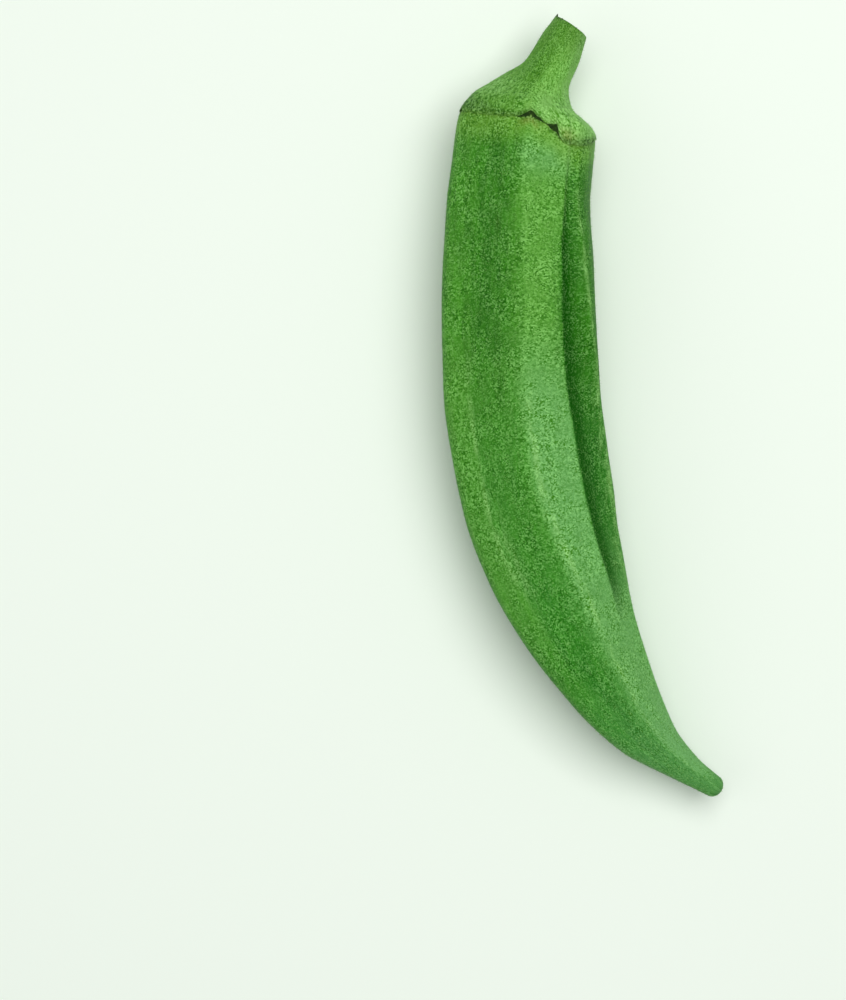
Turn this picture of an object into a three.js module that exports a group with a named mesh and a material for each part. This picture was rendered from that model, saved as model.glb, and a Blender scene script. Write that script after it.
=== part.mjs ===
// An okra pod as picked: a curved, five-ribbed capsule with its calyx cap and cut stem, lying down.
// Millimetres. +Y runs towards the stem, +X is the side that the tip bends to, +Z is up.
import * as THREE from 'three';

// The spine seen from above, from the cut stem through the seam at (0, 0) to the tip.
const SPINE = [
  [6.49, 14.48], [3.64, 8.78], [0.74, 2.93], [0, 0],
  [-0.8, -6.25], [-1.45, -13.05], [-1.52, -26.5], [-1.1, -38.45],
  [0.33, -49.75], [2.55, -60.85], [6.07, -71.4], [11.19, -81.87],
  [17.78, -91.45], [23.79, -96.78], [29.74, -100.76],
];

// Half the width seen from above, against the distance along the spine from the seam.
const HALF_WIDTH = [
  [-16, 2.83], [-12.6, 3.33], [-8.1, 3.8], [-5.1, 5.55], [-3.6, 6.95], [-2.1, 8.8], [-0.9, 9.8],
  [0, 10.2], [1.8, 10.45], [9, 10.6], [21, 11.2], [33, 11.53], [45, 11.67], [57, 11.36],
  [66, 10.37], [75, 8.8], [82.5, 7.42], [90, 5.92], [96, 4.46], [100.5, 3.11], [105, 2.17], [109, 1.68],
];

// The stem end: the seam between cap and pod, and how the cut slants across the stem.
const CUT_AT = -16;
const CUT_SLANT = 8;
const SEAM_GAP = 0.3;
const SEAM_DOME = 1.6;
const STEM_DROP = [[-16, -0.6], [-8, -0.2], [0, 0]];

// How far the cap's margin dips towards the tip, against degrees from straight up, and where that fades out.
const SEAM_DIP = [
  [-100, 0], [-60, 0.3], [-40, 0.5], [-14, 0.5], [-6, 0.1], [-1, -0.4], [4, 0.5], [12, 1.1], [18, 1.6],
  [24, 3], [30, 3.4], [40, 3.3], [52, 2.6], [70, 1.4], [110, 0],
];
const SEAM_DIP_FADE = [[-5, 0], [-0.2, 1], [0.2, 1], [9, 0]];

// The tip is a blunt round end.
const TIP_AT = 109;
const TIP_LENGTH = 1.5;

// Where the rings of the skin stand: close together at the cut, the flare, the seam and the tip, and evenly
// between. The end rings are shares of the radius, and the tip's are degrees of its rounding.
const CUT_RIM = 0.55;
const CUT_SHOULDER = 1.2;
const CUT_LEAN = 0.7;
const STEM_RINGS = { from: -13, to: -7, count: 4 };
const FLARE_RINGS = [-5.8, -4.8, -3.9, -3, -2.1, -1.3, -0.6];
const DOME_RINGS = [0.3, 0.6, 0.84];
const NECK_RINGS = [1, 2.2, 4];
const BODY_RINGS = { from: 6.5, to: 104, count: 34 };
const BEAK_RINGS = { from: 105.5, to: TIP_AT, count: 2 };
const TIP_RINGS = [25, 48, 68];

// The crest of each rib, in degrees from straight up towards the bend side. The shoulder is a lesser rib
// beside the top one, and it sinks into the face again towards the tip.
const RIB_TOP = [[0, 0], [39, 1.5], [52, 1.5], [57, 3], [66, 10], [75, 16.5], [84, 18.5], [110, 14]];
const SHOULDER = [
  [0, 31], [12, 30], [20, 26], [30, 26.5], [39, 30.5], [48, 34], [57, 35.5], [66, 39], [74, 44], [90, 47],
  [110, 54],
];
const RIB_BEND = [
  [0, 41], [12, 42], [18, 44.5], [25, 48.5], [31, 55], [36, 63], [41, 71], [46, 77], [56, 81], [64, 78],
  [73, 70], [110, 88],
];
const RIB_LOW_BEND = [[0, 144], [60, 144], [75, 152], [110, 164]];
const RIB_LOW_OUTER = [[0, 216], [60, 216], [75, 226], [110, 236]];
const RIB_OUTER = [[0, 288], [60, 288], [75, 298], [110, 308]];
const RIBS = [RIB_TOP, SHOULDER, RIB_BEND, RIB_LOW_BEND, RIB_LOW_OUTER, RIB_OUTER];
const SHOULDER_RIB = 1;
const SHOULDER_HEIGHT = [[0, -0.01], [10, 0], [60, 0], [72, -0.03], [84, -0.09], [110, -0.01]];
const CREST_ROUNDING = 0.32;

// How flat the faces between the ribs are, from 0, round, to 1, flat. A face wider than a fifth of the
// girth bulges. The groove beside the shoulder and the face that lies lowest sink further.
const FLATNESS = [[-8, 0], [-3, 0.25], [0, 0.5], [10, 0.8], [30, 0.92], [60, 0.92], [85, 0.75], [110, 0.15]];
const WIDEST_FLAT = 72;
const GROOVE_FACE = 1;
const GROOVE_SINK = [[-4, 0], [3, 0.03], [12, 0.06], [30, 0.075], [50, 0.065], [66, 0.045], [77, 0]];
const GROOVE_SKEW = 0.7;
const LOW_FACE = 3;
const LOW_FACE_SINK = [[0, 0], [10, 0.03], [60, 0.03], [80, 0]];

// The seed line stands up along the middle of each wide face.
const SEED_LINE = 0.014;
const SEED_LINE_WIDTH = 0.12;
const SEED_LINE_RANGE = [[0, 0], [12, 1], [70, 1], [90, 0]];

// The underside: two low ribs pressed flat along the belly, rising clear towards the tip and seam.
const PRESSED_FLAT = 0.22;
const UNDERSIDE_LIFT = [[0, 0.5], [8, 0], [56, 0], [72, 0.8], [86, 2.2], [100, 3.7], [111, 4.6]];

const AROUND = 60;
const DEGREES = Array.from({ length: AROUND }, (_, i) => i * 360 / AROUND);
const COLOURS = { pod: 0x4a8a30, stem: 0x86ad5c };

// A smooth curve through [at, value] pairs, held level past its ends.
function along(table, at) {
  const last = table.length - 1;
  if (at <= table[0][0]) return table[0][1];
  if (at >= table[last][0]) return table[last][1];
  let i = 0;
  while (table[i + 1][0] < at) i += 1;
  const span = table[i + 1][0] - table[i][0];
  const t = (at - table[i][0]) / span;
  const from = slope(table, i) * span;
  const to = slope(table, i + 1) * span;
  const rise = table[i + 1][1] - table[i][1];
  return table[i][1] + t * (from + t * (3 * rise - 2 * from - to + t * (from + to - 2 * rise)));
}

// The slope at one pair: between those of its two spans, and level at a peak or a dip.
function slope(table, i) {
  const step = (k) => (table[k + 1][1] - table[k][1]) / (table[k + 1][0] - table[k][0]);
  if (i === 0) return step(0);
  if (i === table.length - 1) return step(i - 1);
  if (step(i - 1) * step(i) <= 0) return 0;
  const before = table[i][0] - table[i - 1][0];
  const after = table[i + 1][0] - table[i][0];
  const weightBefore = 2 * after + before;
  const weightAfter = after + 2 * before;
  return (weightBefore + weightAfter) / (weightBefore / step(i - 1) + weightAfter / step(i));
}

// The spine's points get their distance from the seam, so that x and y can be read along it.
function measureSpine() {
  const seam = SPINE.findIndex(([x, y]) => x === 0 && y === 0);
  const at = [0];
  for (let i = 1; i < SPINE.length; i += 1) {
    at.push(at[i - 1] + Math.hypot(SPINE[i][0] - SPINE[i - 1][0], SPINE[i][1] - SPINE[i - 1][1]));
  }
  const pair = (axis) => SPINE.map((point, i) => [at[i] - at[seam], point[axis]]);
  return { x: pair(0), y: pair(1) };
}

const spine = measureSpine();

// The heading towards the tip at one place on the spine, as a unit vector in plan.
function heading(s) {
  const reach = 0.5;
  const dx = along(spine.x, s + reach) - along(spine.x, s - reach);
  const dy = along(spine.y, s + reach) - along(spine.y, s - reach);
  return new THREE.Vector2(dx, dy).normalize();
}

// The face that an angle lies in: its number, its span in degrees, and how far across it the angle is.
function faceAt(s, degrees) {
  const crests = RIBS.map((rib) => along(rib, s));
  let face = crests.findLastIndex((crest) => crest <= degrees);
  const before = face < 0;
  if (before) face = crests.length - 1;
  const start = before ? crests[face] - 360 : crests[face];
  const next = face + 1 < crests.length ? crests[face + 1] : crests[0] + (before ? 0 : 360);
  return { face, span: next - start, t: (degrees - start) / (next - start) };
}

// The rise and fall across a face, from 0 on a rounded crest to 1 in the middle.
function arch(t) {
  return (Math.hypot(Math.sin(Math.PI * t), CREST_ROUNDING) - CREST_ROUNDING)
    / (Math.hypot(1, CREST_ROUNDING) - CREST_ROUNDING);
}

// The outline's radius at one angle, before it is scaled to the half width.
function ribbedRadius(s, degrees) {
  const { face, span, t } = faceAt(s, degrees);
  const halfSpan = THREE.MathUtils.degToRad(Math.min(span, WIDEST_FLAT) / 2);
  const shoulderShare = face === SHOULDER_RIB ? 1 - t : t * (face === SHOULDER_RIB - 1);
  const crest = 1 + shoulderShare * along(SHOULDER_HEIGHT, s);
  const flat = along(FLATNESS, s) * (1 - Math.cos(halfSpan)) * arch(t);
  const groove = face === GROOVE_FACE ? along(GROOVE_SINK, s) * arch(t ** GROOVE_SKEW) : 0;
  const low = face === LOW_FACE ? along(LOW_FACE_SINK, s) * arch(t) : 0;
  const wide = face > GROOVE_FACE ? SEED_LINE * along(SEED_LINE_RANGE, s) : 0;
  return crest - flat - groove - low + wide * bump(t, 0.5, SEED_LINE_WIDTH);
}

function bump(t, centre, width) {
  return Math.exp(-(((t - centre) / width) ** 2));
}

// A point of the outline, [sideways, up], before it is scaled.
function outlinePoint(s, degrees) {
  const angle = THREE.MathUtils.degToRad(degrees);
  const radius = ribbedRadius(s, degrees);
  return [radius * Math.sin(angle), radius * Math.cos(angle)];
}

// How the outline at one place is centred and scaled, so that it spans exactly the half width each way.
function fitOutline(s) {
  const points = DEGREES.map((degrees) => outlinePoint(s, degrees));
  const side = points.map((point) => point[0]);
  const low = Math.min(...side);
  const high = Math.max(...side);
  const scale = 2 * along(HALF_WIDTH, s) / (high - low);
  return { scale, centre: (low + high) / 2, lowest: Math.min(...points.map((point) => point[1])) * scale };
}

// The spine's height: the outline's lowest rib is pressed into the surface or lifted off it.
function spineHeight(s) {
  const { lowest } = fitOutline(Math.max(s, 0));
  return along(UNDERSIDE_LIFT, Math.max(s, 0)) - PRESSED_FLAT - lowest + along(STEM_DROP, Math.min(s, 0));
}

// One point of the skin, drawn in towards the spine by shrink and slid forward along it.
function skinPoint(s, degrees, shrink, slide) {
  const fit = fitOutline(s);
  const [u, v] = outlinePoint(s, degrees);
  const side = (u - fit.centre) * fit.scale * shrink;
  const forward = slide(side);
  const towardsTip = heading(s);
  const x = along(spine.x, s) - towardsTip.y * side + towardsTip.x * forward;
  const y = along(spine.y, s) + towardsTip.x * side + towardsTip.y * forward;
  return new THREE.Vector3(x, y, Math.max(0, spineHeight(s) + v * fit.scale * shrink));
}

// A ring of skin points at one place. Near the seam the ring dips with the cap's margin, less so further in.
function ring(s, shrink, slide) {
  const fade = along(SEAM_DIP_FADE, s) * shrink * shrink;
  return DEGREES.map((degrees) => {
    const dip = along(SEAM_DIP, degrees > 180 ? degrees - 360 : degrees) * fade;
    return skinPoint(s + dip, degrees, shrink, slide);
  });
}

// A closed skin over rings that run from one end to the other, with a point in the middle of each end.
function loft(rings) {
  const vertices = rings.flat();
  const first = vertices.push(middle(rings[0])) - 1;
  const last = vertices.push(middle(rings[rings.length - 1])) - 1;
  const faces = [];
  for (let i = 0; i < AROUND; i += 1) {
    const j = (i + 1) % AROUND;
    for (let k = 0; k + 1 < rings.length; k += 1) {
      const near = k * AROUND;
      const far = near + AROUND;
      faces.push(near + i, far + i, far + j, near + i, far + j, near + j);
    }
    const end = (rings.length - 1) * AROUND;
    faces.push(first, i, j, last, end + j, end + i);
  }
  const geometry = new THREE.BufferGeometry().setFromPoints(vertices);
  geometry.setIndex(faces);
  geometry.computeVertexNormals();
  return geometry;
}

function middle(points) {
  const sum = points.reduce((total, point) => total.add(point), new THREE.Vector3());
  return sum.divideScalar(points.length);
}

function evenly({ from, to, count }) {
  return Array.from({ length: count + 1 }, (_, i) => from + (to - from) * i / count);
}

// The rings of the domed face where cap and pod meet, from the middle out.
function domeRings(s) {
  return DOME_RINGS.map((share) => ring(s, share, () => -SEAM_DOME * (1 - share * share)));
}

// Plain rings at the places given.
function rings(places) {
  return places.map((s) => ring(s, 1, () => 0));
}

// The capsule: its domed top under the cap, the ribbed body, and the blunt tip.
function makePod() {
  const tip = TIP_RINGS.map((degrees) => {
    const angle = THREE.MathUtils.degToRad(degrees);
    return ring(TIP_AT, Math.cos(angle), () => TIP_LENGTH * Math.sin(angle));
  });
  const neck = rings([SEAM_GAP / 2, ...NECK_RINGS]);
  const body = rings([...evenly(BODY_RINGS), ...evenly(BEAK_RINGS)]);
  return loft([...domeRings(SEAM_GAP / 2), ...neck, ...body, ...tip]);
}

// The calyx cap and stem: the slanted cut, the stem, the flared cap, and a hollow over the pod's dome.
function makeStemCap() {
  const slant = Math.tan(THREE.MathUtils.degToRad(CUT_SLANT));
  const rim = ring(CUT_AT, CUT_RIM, (side) => side * slant);
  const cut = ring(CUT_AT, 1, (side) => side * slant);
  const lean = ring(CUT_AT + CUT_SHOULDER, 1, (side) => side * slant * CUT_LEAN);
  const skin = rings([...evenly(STEM_RINGS), ...FLARE_RINGS, -SEAM_GAP / 2]);
  return loft([rim, cut, lean, ...skin, ...domeRings(-SEAM_GAP / 2).reverse()]);
}

function namedMesh(name, geometry, colour, roughness) {
  const material = new THREE.MeshStandardMaterial({ color: colour, roughness, metalness: 0 });
  const mesh = new THREE.Mesh(geometry, material);
  mesh.name = name;
  return mesh;
}

// The part's origin is the middle of its box, at the bottom.
function standOnOrigin(group) {
  const box = new THREE.Box3().setFromObject(group);
  const centre = box.getCenter(new THREE.Vector3());
  group.position.set(-centre.x, -centre.y, -box.min.z);
  return group;
}

const okra = new THREE.Group();
okra.add(namedMesh('pod', makePod(), COLOURS.pod, 0.6));
okra.add(namedMesh('stem_cap', makeStemCap(), COLOURS.stem, 0.62));

export default standOnOrigin(okra);
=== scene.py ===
import math

import bmesh
import bpy
import numpy as np
from bpy.props import FloatProperty, FloatVectorProperty, IntProperty, PointerProperty
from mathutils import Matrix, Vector


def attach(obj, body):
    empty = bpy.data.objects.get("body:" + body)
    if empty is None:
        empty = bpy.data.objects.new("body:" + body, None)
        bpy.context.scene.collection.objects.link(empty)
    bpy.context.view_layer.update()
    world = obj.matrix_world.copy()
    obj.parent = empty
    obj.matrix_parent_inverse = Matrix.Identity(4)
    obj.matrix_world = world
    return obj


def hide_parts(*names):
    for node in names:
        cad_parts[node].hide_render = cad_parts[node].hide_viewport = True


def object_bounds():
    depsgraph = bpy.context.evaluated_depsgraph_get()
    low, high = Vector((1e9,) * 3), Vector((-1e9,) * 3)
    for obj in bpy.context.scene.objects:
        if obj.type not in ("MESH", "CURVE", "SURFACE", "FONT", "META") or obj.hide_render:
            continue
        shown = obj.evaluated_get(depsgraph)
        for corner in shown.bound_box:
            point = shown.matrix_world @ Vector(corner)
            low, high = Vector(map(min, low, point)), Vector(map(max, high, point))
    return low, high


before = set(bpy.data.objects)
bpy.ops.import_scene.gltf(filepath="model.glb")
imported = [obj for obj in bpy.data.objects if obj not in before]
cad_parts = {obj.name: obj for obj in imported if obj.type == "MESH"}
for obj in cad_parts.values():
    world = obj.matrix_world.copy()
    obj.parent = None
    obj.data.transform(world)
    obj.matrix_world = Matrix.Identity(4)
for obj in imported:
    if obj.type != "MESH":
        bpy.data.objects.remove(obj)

bl_info = {
    "name": "Okra pod",
    "version": (1, 0, 0),
    "blender": (4, 5, 0),
    "location": "View3D > Sidebar > Okra",
    "description": "Dresses the okra pod's solids with its ribbed skin, calyx cap, stem and down",
    "category": "Object",
}

CAD_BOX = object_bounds()
MM = 0.001

# The shape of the pod, in millimetres, as its solids have it. Distances run along the spine from the seam
# between cap and pod, positive towards the tip. Angles are degrees from straight up towards the bend side.
SPINE = (
    (6.49, 14.48), (3.64, 8.78), (0.74, 2.93), (0, 0), (-0.8, -6.25), (-1.45, -13.05), (-1.52, -26.5),
    (-1.1, -38.45), (0.33, -49.75), (2.55, -60.85), (6.07, -71.4), (11.19, -81.87), (17.78, -91.45),
    (23.79, -96.78), (29.74, -100.76),
)
HALF_WIDTH = (
    (-16, 2.83), (-12.6, 3.33), (-8.1, 3.8), (-5.1, 5.55), (-3.6, 6.95), (-2.1, 8.8), (-0.9, 9.8),
    (0, 10.2), (1.8, 10.45), (9, 10.6), (21, 11.2), (33, 11.53), (45, 11.67), (57, 11.36),
    (66, 10.37), (75, 8.8), (82.5, 7.42), (90, 5.92), (96, 4.46), (100.5, 3.11), (105, 2.17), (109, 1.68),
)
CUT_AT = -16
CUT_SLANT = 8
STEM_DROP = ((-16, -0.6), (-8, -0.2), (0, 0))
SEAM_DOME = 1.6
SEAM_DIP = (
    (-100, 0), (-60, 0.3), (-40, 0.5), (-14, 0.5), (-6, 0.1), (-1, -0.4), (4, 0.5), (12, 1.1), (18, 1.6),
    (24, 3), (30, 3.4), (40, 3.3), (52, 2.6), (70, 1.4), (110, 0),
)
SEAM_DIP_FADE = ((-5, 0), (-0.2, 1), (0.2, 1), (9, 0))
TIP_AT = 109
TIP_LENGTH = 1.5
RIBS = (
    ((0, 0), (39, 1.5), (52, 1.5), (57, 3), (66, 10), (75, 16.5), (84, 18.5), (110, 14)),
    ((0, 31), (12, 30), (20, 26), (30, 26.5), (39, 30.5), (48, 34), (57, 35.5), (66, 39), (74, 44), (90, 47),
     (110, 54)),
    ((0, 41), (12, 42), (18, 44.5), (25, 48.5), (31, 55), (36, 63), (41, 71), (46, 77), (56, 81), (64, 78),
     (73, 70), (110, 88)),
    ((0, 144), (60, 144), (75, 152), (110, 164)),
    ((0, 216), (60, 216), (75, 226), (110, 236)),
    ((0, 288), (60, 288), (75, 298), (110, 308)),
)
SHOULDER_RIB = 1
SHOULDER_HEIGHT = ((0, -0.01), (10, 0), (60, 0), (72, -0.03), (84, -0.09), (110, -0.01))
CREST_ROUNDING = 0.32
FLATNESS = ((-8, 0), (-3, 0.25), (0, 0.5), (10, 0.8), (30, 0.92), (60, 0.92), (85, 0.75), (110, 0.15))
WIDEST_FLAT = 72
GROOVE_FACE = 1
OUTER_FACE = 5
GROOVE_SINK = ((-4, 0), (3, 0.03), (12, 0.06), (30, 0.075), (50, 0.065), (66, 0.045), (77, 0))
GROOVE_SKEW = 0.7
LOW_FACE = 3
LOW_FACE_SINK = ((0, 0), (10, 0.03), (60, 0.03), (80, 0))
SEED_LINE = 0.014
SEED_LINE_WIDTH = 0.12
SEED_LINE_RANGE = ((0, 0), (12, 1), (70, 1), (90, 0))
PRESSED_FLAT = 0.22
UNDERSIDE_LIFT = ((0, 0.5), (8, 0), (56, 0), (72, 0.8), (86, 2.2), (100, 3.7), (111, 4.6))

# Scars along the seam where the calyx fell. The two in sight are a table of degrees, and how far the dark
# remains reach over and under the margin. The others are given by their middle, half width and reach.
NOTCH_AND_BLOB = (
    (-14, 0, 0), (-10.5, 0.08, 0.28), (-6.5, 0.2, 0.42), (-2.5, 0.25, 0.7), (0, 0.25, 0.7), (2.5, 0.42, 0.35),
    (5, 0.5, 0.12), (7, 0.4, 0.06), (10.5, 0.16, 0.04), (13, 0.28, 0.1), (15, 0.5, 0.35), (17.5, 0.75, 0.45),
    (19, 1.05, 0.2), (20.4, 1.35, 0.05), (21.4, 0.7, 0), (22.4, 0.15, 0), (24, 0.03, 0), (26, 0, 0),
)
HIDDEN_SCARS = (
    (62, 4, 0.35), (104, 8, 0.5), (146, 11, 0.7), (186, 6, 0.5), (218, 11, 0.6), (252, 6, 0.45),
    (286, 5, 0.3),
)

# Small marks on the pod: distance from the seam, degrees, length, width in degrees, and strength.
DARK_SPOTS = (
    (15.8, -22, 1.0, 2.2, 1), (28.6, -78, 0.5, 4, 0.8), (52, 12, 0.5, 2, 0.5), (70, 60, 0.6, 3, 0.6),
    (22, 120, 0.9, 3, 0.8), (44, 250, 1.2, 3, 0.8), (36, 170, 0.6, 3, 0.7), (79, 200, 0.7, 4, 0.8),
)
PALE_SPOTS = (
    (91.5, 2, 0.25, 2, 1), (83, 8, 0.25, 1.6, 0.8), (78, -20, 0.3, 2, 0.7), (30, 140, 0.3, 2, 0.9),
    (61, 230, 0.4, 3, 0.9), (88, 150, 0.3, 3, 0.8),
)

# Torn fibres round the cut of the stem: degrees, how far they stand out, and radius at the root.
TORN_FIBRES = (
    (-84, 0.55, 0.2), (-70, 0.2, 0.14), (-38, 0.16, 0.12), (20, 0.14, 0.1), (150, 0.3, 0.14),
    (205, 0.2, 0.16),
)

# The rings that close the skins: the cut face as shares of its radius and how deep they lie, then the hollow
# under the cap, the dome that the capsule hides in it, and the steps round the tip in degrees.
CUT_RINGS = ((0.2, 0.3), (0.45, 0.26), (0.68, 0.18), (0.84, 0.06), (0.95, 0.0))
HOLLOW_SHRINK = (0.96, 0.84, 0.6, 0.3)
HOLLOW_DEPTH = 0.25
DOME_SHRINK = (0.3, 0.6, 0.84, 0.96)
TIP_ANGLES = (12, 24, 36, 48, 60, 71, 81)
POD_STARTS = -0.1

# Skin closer than this to the table, the seam or the cut grows no down.
BARE_AT_TABLE = 0.6
BARE_UNDER_SEAM = 0.3
BARE_OVER_SEAM = 0.4
BARE_AT_CUT = 0.3

# The mealy specks: how many a millimetre, and what a pale one adds to the skin's colour and a dark one leaves
# of it, as linear values. Under them both skins have a low waxy gloss.
SPECK_SCALE = 5.2
SPECK_GLOW = (0.107, 0.196, 0.07)
SPECK_SHADE = (0.29, 0.54, 0.06)
LOW_GLOSS = 0.1

# The photograph's frame: its scale at the pod, and the middle of the picture measured from the seam.
PICTURE = (846, 1000)
MM_PER_PIXEL = 0.15
PICTURE_CENTRE = (-15.7, -56.5)
CAMERA_HEIGHT = 450
POD_MIDDLE_HEIGHT = 10

# The stage, in metres: each light's name, place, size and power, what they face, and the floor.
LIGHTS = (("key", (0.1, 0.14, 0.7), 0.6, 4.6), ("fill", (-0.5, -0.1, 0.6), 0.6, 0.7))
LIGHTS_FACE = (0, 0, 0.01)
ROOM_LIGHT = 0.26
FLOOR_HALF = 3.0
FLOOR_DROP = 0.0001


def srgb(red, green, blue):
    """A colour given as 0 to 255 screen values, as linear values for a shader."""
    screen = np.array((red, green, blue)) / 255
    linear = np.where(screen <= 0.04045, screen / 12.92, ((screen + 0.055) / 1.055) ** 2.4)
    return tuple(float(value) for value in linear)


def length(name, description, millimetres, precision=5):
    """A length that a user may change, given in millimetres."""
    return FloatProperty(
        name=name, description=description, default=millimetres * MM, unit="LENGTH", precision=precision)


def tone(name, description, red, green, blue):
    """A colour that a user may change, given as screen values."""
    return FloatVectorProperty(
        name=name, description=description, subtype="COLOR", default=srgb(red, green, blue))


class OkraSizes(bpy.types.PropertyGroup):
    """Sizes of the finish that covers the solids."""

    around: IntProperty(
        name="Points around pod", description="Points round each ring of the capsule", default=216)
    cap_around: IntProperty(
        name="Points around cap", description="Points round each ring of the cap", default=360)
    pod_rings: IntProperty(name="Pod rings", description="Rings along the capsule", default=400)
    cap_rings: IntProperty(name="Cap rings", description="Rings along the cap and stem", default=120)
    undulation: length("Undulation", "Height of the soft unevenness of the skin", 0.05)
    lip: length("Cap lip", "How far the cap's margin stands proud of the pod", 0.14)
    ridge: length("Cap ridges", "Height of the ridges that run from the cap up the stem", 0.16)
    down_length: length("Down length", "Length of the longest hairs", 0.4)
    down_radius: length("Down thickness", "Radius of a hair at its root", 0.022, 6)
    down_density: FloatProperty(
        name="Down density", description="Hairs per square metre of skin", default=4.2e6)
    seed: IntProperty(name="Seed", description="Seed of every random draw", default=7)


class OkraColours(bpy.types.PropertyGroup):
    """Colours of the skins, the down and the stage."""

    face: tone("Pod face", "The flat faces of the pod", 67, 147, 31)
    # Pod shade is the darker green of the patches, and also painted shade in the groove and on the face past
    # it.
    deep_green_and_shade: tone("Pod shade", "Darker patches and the groove", 16, 84, 6)
    # Rib crest also paints the strip beside the top rib lighter where it faces the light, as painted light.
    crest: tone("Rib crest", "The paler crests and the band beside the top rib", 95, 161, 57)
    lower: tone("Lower face", "The purer green of the faces towards the tip", 36, 140, 46)
    cool: tone("Cool green", "The bluer, paler green of the band towards the tip", 132, 192, 134)
    cap: tone("Cap", "The mealy pale green of the cap", 122, 182, 78)
    # Cap shade is painted shade, laid on the cap's and stem's outer side away from the light.
    shade: tone("Cap shade", "The deeper green of the cap's and stem's outer side", 72, 134, 20)
    stem: tone("Stem", "The deeper green of the stem", 92, 142, 46)
    # Meal also serves as painted light: the paler lit side of the cap and stem, and the painted highlights
    # along the ribs.
    meal: tone("Meal", "The pale mealy specks", 148, 204, 116)
    stain: tone("Seam stain", "The olive tint along the seam", 124, 130, 54)
    # The seam colour is painted shade in the soft fold along the seam and round the scars; it also darkens
    # the small dark spots.
    crease_shade_and_spots: tone("Seam crease", "The dark soft crease along the seam", 50, 96, 14)
    young: tone("Young green", "The yellower green of the skin next to the seam", 118, 170, 58)
    # Dry calyx is dark enough to stand in for the shade in the gaps under the cap's lip as well.
    dry: tone("Dry calyx", "The dark remains of the calyx", 18, 42, 6)
    husk: tone("Dry calyx edges", "The lighter flecks in the remains", 52, 78, 24)
    pith: tone("Pith", "The pale middle of the cut stem", 196, 208, 150)
    down: tone("Down", "The fine hairs", 136, 188, 92)
    floor: tone("Floor", "The plain pale floor", 240, 249, 237)


def along(table, at):
    """A smooth curve through (at, value) pairs, level at its peaks and held past its ends."""
    xs, ys = np.array(table, float).T
    step = np.diff(ys) / np.diff(xs)
    before, after = np.diff(xs)[:-1], np.diff(xs)[1:]
    weight_before, weight_after = 2 * after + before, after + 2 * before
    rising = step[:-1] * step[1:] > 0
    safe = np.where(rising, step[:-1], 1), np.where(rising, step[1:], 1)
    mean = (weight_before + weight_after) / (weight_before / safe[0] + weight_after / safe[1])
    slopes = np.concatenate((step[:1], np.where(rising, mean, 0), step[-1:]))
    at = np.clip(at, xs[0], xs[-1])
    i = np.clip(np.searchsorted(xs, at, side="right") - 1, 0, len(xs) - 2)
    span, rise = xs[i + 1] - xs[i], ys[i + 1] - ys[i]
    start, end, t = slopes[i] * span, slopes[i + 1] * span, (at - xs[i]) / span
    return ys[i] + t * (start + t * (3 * rise - 2 * start - end + t * (start + end - 2 * rise)))


def measured_spine():
    """The spine's x and y as tables against the distance from the seam."""
    points = np.array(SPINE, float)
    distance = np.concatenate(([0], np.cumsum(np.hypot(*np.diff(points, axis=0).T))))
    seam = int(np.argmin(np.hypot(*points.T)))
    distance -= distance[seam]
    return np.column_stack((distance, points[:, 0])), np.column_stack((distance, points[:, 1]))


SPINE_X, SPINE_Y = measured_spine()


def heading(s):
    """The direction towards the tip at each place, as unit x and y."""
    reach = 0.5
    dx = along(SPINE_X, s + reach) - along(SPINE_X, s - reach)
    dy = along(SPINE_Y, s + reach) - along(SPINE_Y, s - reach)
    size = np.hypot(dx, dy)
    return dx / size, dy / size


def bump(t, centre, width):
    """A smooth hump, 1 at the centre and a third of that a width away."""
    return np.exp(-((t - centre) / width) ** 2)


def faces_at(s, degrees):
    """The face each point lies in, its span in degrees, and how far across it the point is, from 0 to 1."""
    crests = [along(rib, s) for rib in RIBS]
    face = np.zeros(np.shape(degrees), int)
    span, across = np.ones(np.shape(degrees)), np.zeros(np.shape(degrees))
    for k, start in enumerate(crests):
        end = crests[k + 1] if k + 1 < len(crests) else crests[0] + 360
        for turn in (0, 360):
            t = (degrees + turn - start) / (end - start)
            inside = (t >= 0) & (t < 1)
            face[inside] = k
            span[inside] = (end - start)[inside]
            across[inside] = t[inside]
    return face, span, across


def arch(t):
    """The rise and fall across a face, from 0 on a rounded crest to 1 in the middle."""
    highest = math.hypot(1, CREST_ROUNDING) - CREST_ROUNDING
    return (np.hypot(np.sin(np.pi * t), CREST_ROUNDING) - CREST_ROUNDING) / highest


def ribbed_radius(s, degrees):
    """The outline's radius before it is scaled to the half width."""
    s, degrees = np.broadcast_arrays(s, degrees)
    face, span, t = faces_at(s, degrees)
    half_span = np.radians(np.minimum(span, WIDEST_FLAT) / 2)
    lean = np.where(face == SHOULDER_RIB, 1 - t, 0) + np.where(face == SHOULDER_RIB - 1, t, 0)
    flat = along(FLATNESS, s) * (1 - np.cos(half_span)) * arch(t)
    groove = np.where(face == GROOVE_FACE, along(GROOVE_SINK, s) * arch(t ** GROOVE_SKEW), 0)
    low = np.where(face == LOW_FACE, along(LOW_FACE_SINK, s) * arch(t), 0)
    wide = np.where(face > GROOVE_FACE, SEED_LINE * along(SEED_LINE_RANGE, s), 0)
    return 1 + lean * along(SHOULDER_HEIGHT, s) - flat - groove - low + wide * bump(t, 0.5, SEED_LINE_WIDTH)


def fitted_outline():
    """Tables of the outline's scale, centre and lowest point along the spine."""
    places = np.linspace(CUT_AT, TIP_AT, 500)
    s, degrees = np.meshgrid(places, np.arange(0, 360, 2), indexing="ij")
    radius = ribbed_radius(s, degrees)
    side = radius * np.sin(np.radians(degrees))
    up = radius * np.cos(np.radians(degrees))
    low, high = side.min(1), side.max(1)
    scale = 2 * along(HALF_WIDTH, places) / (high - low)
    return {"s": places, "scale": scale, "centre": (low + high) / 2, "lowest": up.min(1) * scale}


FIT = fitted_outline()


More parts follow.
